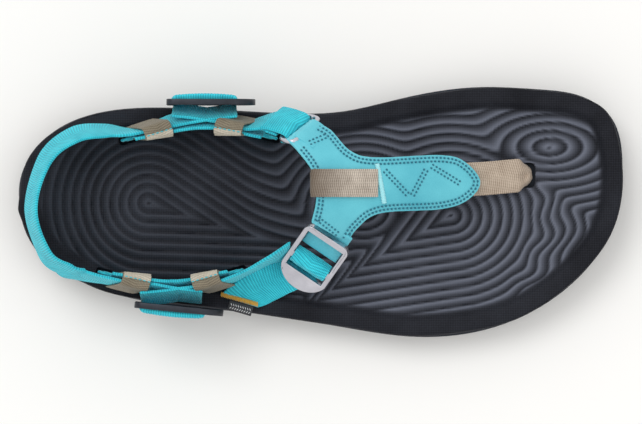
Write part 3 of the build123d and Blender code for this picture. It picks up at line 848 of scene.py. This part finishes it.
def dome(x, y, lift=0.0):
    """The yoke's outer face, raised by lift, and its normal."""
    x, y = np.asarray(x, dtype=float), np.asarray(y, dtype=float)
    across = y - YOKE_Y
    height = np.sqrt(np.maximum(1.0, YOKE_RADIUS**2 - across**2))
    z = yoke_top(x) - YOKE_RADIUS + height
    slope = (yoke_top(x + 0.5) - yoke_top(x - 0.5))
    normal = unit(np.stack([-slope, across / height, np.ones_like(slope)], axis=-1))
    return np.stack([x, y, z], axis=-1) + normal * lift, normal


def yoke_edges():
    front, _, _ = curve([(YOKE_X + x, YOKE_Y + y) for x, y in YOKE_FRONT], 400)
    rear, _, _ = curve([(YOKE_X + x, YOKE_Y + y) for x, y in YOKE_REAR], 160)
    return front, rear


def flat_slab(name, outline, top, bottom):
    """A closed slab with the given plan, evenly meshed, in millimetres above the dome."""
    unselect()
    bpy.ops.mesh.primitive_circle_add(vertices=len(outline), radius=1, fill_type="NGON")
    piece = bpy.context.object
    piece.name = name
    reshape(piece, np.column_stack([outline, np.full(len(outline), top)]))
    bpy.ops.object.mode_set(mode="EDIT")
    bpy.ops.mesh.select_all(action="SELECT")
    bpy.ops.mesh.extrude_region_move(TRANSFORM_OT_translate={"value": (0, 0, (bottom - top) * MM)})
    bpy.ops.mesh.normals_make_consistent(inside=False)
    bpy.ops.object.mode_set(mode="OBJECT")
    piece.data.remesh_voxel_size = YOKE_MESH * MM
    piece.data.use_remesh_fix_poles = False
    bpy.ops.object.voxel_remesh()
    apply_modifier(piece, "SMOOTH", factor=0.5, iterations=5)
    return piece


def make_yoke():
    """The leather shell and its lining, with the channels that the two rows of stitches lie in."""
    front, rear = yoke_edges()
    outline = np.vstack([front, rear])
    for node, name, top, bottom, material, slot in (
        ("yoke_upper", "yoke_shell", 0.1, -1.6, LEATHER, "yoke_microfibre"),
        ("yoke_lining", "yoke_inside", -1.7, -2.6, LINING, "yoke_lining"),
    ):
        piece = flat_slab(name, outline[::4], top, bottom)
        points = corners(piece) / MM
        gap = np.full(len(points), 1e9)
        for px, py in outline[::2]:
            gap = np.minimum(gap, np.hypot(points[:, 0] - px, points[:, 1] - py))
        press = sum(0.30 * np.exp(-((gap - row) / 0.45) ** 2) for row in ROWS)
        swell = 0.22 * np.exp(-((gap - 2.25) / 0.45) ** 2) + 0.15 * np.exp(-((gap - 0.5) / 0.4) ** 2)
        shift = (swell - press) * (1.0 if node == "yoke_upper" else 0.0)
        face, normal = dome(points[:, 0], points[:, 1])
        reshape(piece, face + normal * (points[:, 2] + shift)[:, None])
        finish_piece(piece, YOKE, material, [node], 70)


def beyond_arm(point, plane):
    """True past the end of the arm that meets this plane, where the stitching stops."""
    offset = np.array(point) - np.array(plane[0])
    return float(np.dot(offset, plane[2])) > ARM_END and abs(float(np.dot(offset, plane[1]))) < ARM_REACH


def row_of_stitches(line, inset, pitch=1.85):
    """Stitch places along a plan line, moved in to its right by inset."""
    tangent = unit(np.gradient(line, axis=0))
    moved = line + np.stack([tangent[:, 1], -tangent[:, 0]], axis=1) * inset
    gone = np.hstack([[0], np.cumsum(np.linalg.norm(np.diff(moved, axis=0), axis=1))])
    spots = []
    for mark in np.arange(pitch, gone[-1] - pitch, pitch):
        x, y = np.interp(mark, gone, moved[:, 0]), np.interp(mark, gone, moved[:, 1])
        ahead_x, ahead_y = np.interp(mark + 0.4, gone, moved[:, 0]), np.interp(mark + 0.4, gone, moved[:, 1])
        spot, normal = dome(x, y, 0.02)
        ahead, _ = dome(ahead_x, ahead_y, 0.02)
        if not beyond_arm(spot, MEDIAL_YOKE) and not beyond_arm(spot, LATERAL_YOKE):
            spots.append((spot, ahead - spot, normal))
    return spots


def make_yoke_stitches():
    front, rear = yoke_edges()
    spots = []
    for inset in ROWS:
        spots += row_of_stitches(front, inset) + row_of_stitches(rear, inset)
    zigzag = [(29.2, 20.6), (42.5, 6.6), (51.1, 22.4), (68.4, 12.0)]
    for a, b in zip(zigzag, zigzag[1:]):
        line = np.linspace(a, b, 40)
        spots += row_of_stitches(line, 0.9) + row_of_stitches(line, -0.9)
    for a, b in (((-6.5, 31.8), (4.6, 36.6)), ((-2.6, -2.2), (9.6, -11.4))):
        line = np.linspace(a, b, 40)
        spots += row_of_stitches(line, 0.9) + row_of_stitches(line, -0.9)
    sew("yoke_stitches", spots, 1.3, 0.5, TEAL_THREAD, YOKE)


def make_pull():
    """Tan webbing along the yoke, wrapped over its rear edge, and the bar of stitching at its front end."""
    spots = [dome(x, YOKE_Y + 0.65, 1.05)[0] for x in (26.6, 20, 12, 4, 0.6)]
    rear = np.array(spots[-1])
    route = spots + [rear + (-3.6, 0, -0.6), rear + (-4.9, 0, -2.6), rear + (-3.4, 0, -4.3), rear + (3.0, 0, -4.0)]
    piece = strap("pull_tape", route, [(0, 1, 0)] * len(route), 13.3, 1.6)
    finish_piece(piece, YOKE, TAN_PULL, ["pull_webbing"])
    rows = []
    for i in range(26):
        share = i / 25
        spot, normal = dome(29.8 - 3.3 * share, YOKE_Y - 8.4 + 17.6 * share, 0.35)
        rows.append((spot, (1.0, 0.15, -0.5), normal))
    sew("pull_tack", rows, 2.8, 0.5, PALE_THREAD, YOKE, ["tack_bar"])


TOE_WEB = 16.0


def make_toe_web():
    """The toe post's webbing, which rolls in at its edges and dives into the toe hole."""
    start_x = NOSE_X - 6.0
    under = float(yoke_top(start_x)) - 6.0
    level = float(rim_top(TOE_HOLE[0]))
    route = [
        (start_x, 15.4, under), (79.0, 16.0, under - 3.2), (88.0, 16.8, level + 2.6), (95.0, 17.4, level + 1.7),
        (99.0, 17.5, level - 0.6), (100.4, 17.5, level - 5.0),
    ]
    piece = strap("toe_post_tape", route, [(0, 1, 0)] * len(route), TOE_WEB)
    points = corners(piece) / MM
    close = smooth(points[:, 0], 93.5, 100.4)
    share = (points[:, 1] - TOE_HOLE[1]) / (TOE_WEB / 2)
    points[:, 1] = TOE_HOLE[1] + share * TOE_WEB / 2 * (1 - 0.34 * close)
    points[:, 2] -= close * (2.2 * share**2 + 1.4 * np.exp(-((share - 0.1) / 0.22) ** 2))
    points[:, 0] -= close * 2.4 * share**2
    points[:, 2] -= 2.0 * np.exp(-((points[:, 0] - 97.2) / 1.6) ** 2 - ((share + 0.1) / 0.3) ** 2)
    points[:, 2] += 0.35 * np.sin(share * 4.0 + points[:, 0] * 0.25) * (1 - close)
    reshape(piece, points)
    finish_piece(piece, YOKE, TAN_TOE, ["toe_post_webbing"])


def make_tabs():
    """The arms' leather: a tongue under the buckle's bar, and a loop right over the ring's bar."""
    tongue = [(0, -6.5, -2.2), (0, -3.5, -2.9), (0, 0, -3.0), (0, 12.0, -3.0)]
    loop = [
        (0, -8.5, -3.0), (0, -5.2, -2.0), (0, -3.2, -0.6), (0, -1.2, 0.5), (0, 1.0, 1.1),
        (0, 2.5, 0.0), (0, 2.0, -1.9), (0, 0, -2.9), (0, -5, -2.9),
    ]
    for name, plane, route, width in (
        ("lateral_yoke_tab", LATERAL_YOKE, tongue, 19.0), ("medial_yoke_tab", MEDIAL_YOKE, loop, 15.6),
    ):
        piece = strap(name + "_leather", local(plane, route), [plane[1]] * len(route), width, 1.6)
        finish_piece(piece, YOKE, LEATHER, [name])


RING_HALVES = (10.7, 4.25)
RING_WIRE = 6.2


def make_ring():
    """A rectangular ring of round wire: a torus drawn out to the ring's corners."""
    unselect()
    bpy.ops.mesh.primitive_torus_add(major_segments=64, minor_segments=14, major_radius=1.0, minor_radius=0.2)
    piece = bpy.context.object
    piece.name = "medial_ring_frame"
    points = corners(piece)
    around = np.arctan2(points[:, 1], points[:, 0])
    off = np.hypot(points[:, 0], points[:, 1]) - 1.0
    square = (np.abs(np.cos(around)) ** 5 + np.abs(np.sin(around)) ** 5) ** (-1 / 5)
    wide, long = RING_HALVES
    middle = np.stack([np.cos(around) * square * wide, long + np.sin(around) * square * long], axis=1)
    outward = unit(np.stack([np.cos(around) * long, np.sin(around) * wide], axis=1))
    flat = middle + outward * (off * RING_WIRE)[:, None]
    reshape(piece, local(MEDIAL_YOKE, np.column_stack([flat, points[:, 2] * RING_WIRE])))
    finish_piece(piece, "medial_ring", GUNMETAL_PAINTED_REFLECTION, ["medial_yoke_ring"], 60)


# ------------------------------------------------------------------ tail, label and bar stitching

TAIL_ROOT = np.array((-19.83, -32.04, 23.99))
TAIL_END = TAIL_ROOT + (-19.0, -10.4, -1.1)
TAIL_X = unit(np.array((-0.963, 0.271, 0.0)))
TAIL_Y = unit(np.array((-0.271, -0.963, 0.0)))


def make_tail():
    """The free end of the webbing from under the buckle, its bar of stitches, and the blank label."""
    under = local(LATERAL_YOKE, [(1.5, 19.5, -3.4), (3.5, 26.5, -3.5), (6.0, 32.5, -2.9)])
    route = [tuple(point) for point in under]
    route += [tuple(TAIL_ROOT + (0, 1.4, 0.2)), tuple(TAIL_ROOT + (-9.0, -4.0, -0.3)), tuple(TAIL_END)]
    across = [
        (0.72, -0.68, -0.1), (0.6, -0.8, -0.1), (0.45, -0.88, -0.08),
        (6.5, -16.5, -3), (9.5, -10.8, -6.0), (14.3, -4.6, -0.8),
    ]
    piece = strap("tail_webbing", route, across, square=False)
    finish_piece(piece, None, TEAL, ["strap_tail"])
    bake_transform(piece)
    rows = []
    for i in range(24):
        spot = TAIL_END + TAIL_X * (-8.8 + i * 0.765) - TAIL_Y * 1.0 + (0, 0, 1.35)
        rows.append((spot, TAIL_Y + np.array((0.25, 0, 0.1)), UP))
    sew("tail_bar_stitches", rows, 2.6, 0.42, GOLD_THREAD, "tail", ["label_tack"])
    middle = TAIL_END - TAIL_X * 1.6 + (0, 0, 3.0)
    route = [middle + TAIL_Y * 0.6, middle + TAIL_Y * 2.6 + (0, 0, 0.3), middle + TAIL_Y * 5.2 + (0, 0, 0.2)]
    label = strap("blank_label", route, [TAIL_X] * 3, 11.6, 0.8, step=0.3)
    finish_piece(label, "tail", LABEL, ["tail_label"])
    marks = []
    for i in range(9):
        for j in range(2):
            spot = middle + TAIL_X * (-4.6 + i * 1.15) + TAIL_Y * (2.3 + j * 1.6) + (0, 0, 0.75)
            marks.append((spot, TAIL_X * (0.7 if j else -0.7) + TAIL_Y, UP))
    sew("label_pattern", marks, 1.3, 0.2, WHITE_THREAD, "tail")


# ------------------------------------------------------------------ build

make_footbed()
make_midsole()
make_anchor("medial", 1)
make_anchor("lateral", -1)
for keeper_name, values in KEEPERS.items():
    make_keeper(keeper_name, *values)
make_rear_webbing()
make_front_straps()
make_fold("medial_side_webbing", MEDIAL_SIDE, 1.0, 31.5, 1.0, 1.9, "medial_slide", "medial_side_fold", 3.2)
make_fold("lateral_side_webbing", LATERAL_SIDE, 1.0, 31.5, 1.0, 1.9, "lateral_slide", "lateral_side_fold", 3.2)
make_fold("lateral_yoke_webbing", LATERAL_YOKE, 14.45, 22.35, 3.0, 3.1, "lateral_buckle", "lateral_yoke_fold")
make_ring_webbing()
hardware("medial_side_buckle", "medial_slide_frame", MEDIAL_SIDE, "medial_slide", DARK)
hardware("lateral_side_buckle", "lateral_slide_frame", LATERAL_SIDE, "lateral_slide", DARK)
hardware("lateral_yoke_buckle", "lateral_buckle_frame", LATERAL_YOKE, "lateral_buckle", GUNMETAL_PAINTED_REFLECTION)
make_ring()
make_yoke()
make_yoke_stitches()
make_pull()
make_toe_web()
make_tabs()
make_tail()

KEPT = {
    "outsole": RUBBER, "rear_under_web": TEAL, "front_under_web": TEAL, "toe_anchor": PLASTIC,
}
for node, material in KEPT.items():
    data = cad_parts[node].data
    data.materials.clear()
    data.materials.append(material)


# ------------------------------------------------------------------ floor, light and camera

EYE_HEIGHT = 3.0
FRAMED_HEIGHT = 0.025
FRAMED_WIDTH = 0.30495
SENSOR = 36


def make_stage():
    """A pale paper floor, a bright room, two soft suns and a camera straight above."""
    unselect()
    bpy.ops.mesh.primitive_plane_add(size=6, location=(0, 0, -0.0002))
    floor = bpy.context.object
    floor.name = "floor"
    paper = Finish("floor_paper", Specular_IOR_Level=0.1)
    paper.shader.inputs["Base Color"].default_value = (0.93, 0.925, 0.91, 1)
    paper.shader.inputs["Roughness"].default_value = 0.9
    floor.data.materials.append(paper.material)
    world = bpy.data.worlds.new("studio")
    world.use_nodes = True
    world.node_tree.nodes["Background"].inputs[0].default_value = (1.0, 0.995, 0.985, 1)
    world.node_tree.nodes["Background"].inputs[1].default_value = 0.86
    bpy.context.scene.world = world
    for place, angle, power in (((-0.38, 0.50, 1.0), 30, 0.75), ((0.5, 0.1, 1.0), 45, 0.15)):
        bpy.ops.object.light_add(type="SUN", location=place)
        light = bpy.context.object
        light.data.angle = math.radians(angle)
        light.data.energy = power
        light.rotation_euler = (-Vector(place)).to_track_quat("-Z", "Y").to_euler()
    bpy.context.scene.view_settings.view_transform = "Standard"
    bpy.ops.object.camera_add(location=(0.0002, 0.0, EYE_HEIGHT), rotation=(0, 0, 0))
    camera = bpy.context.object
    camera.data.sensor_width = SENSOR
    camera.data.lens = SENSOR * (EYE_HEIGHT - FRAMED_HEIGHT) / FRAMED_WIDTH
    camera.data.clip_end = 20
    bpy.context.scene.camera = camera


make_stage()
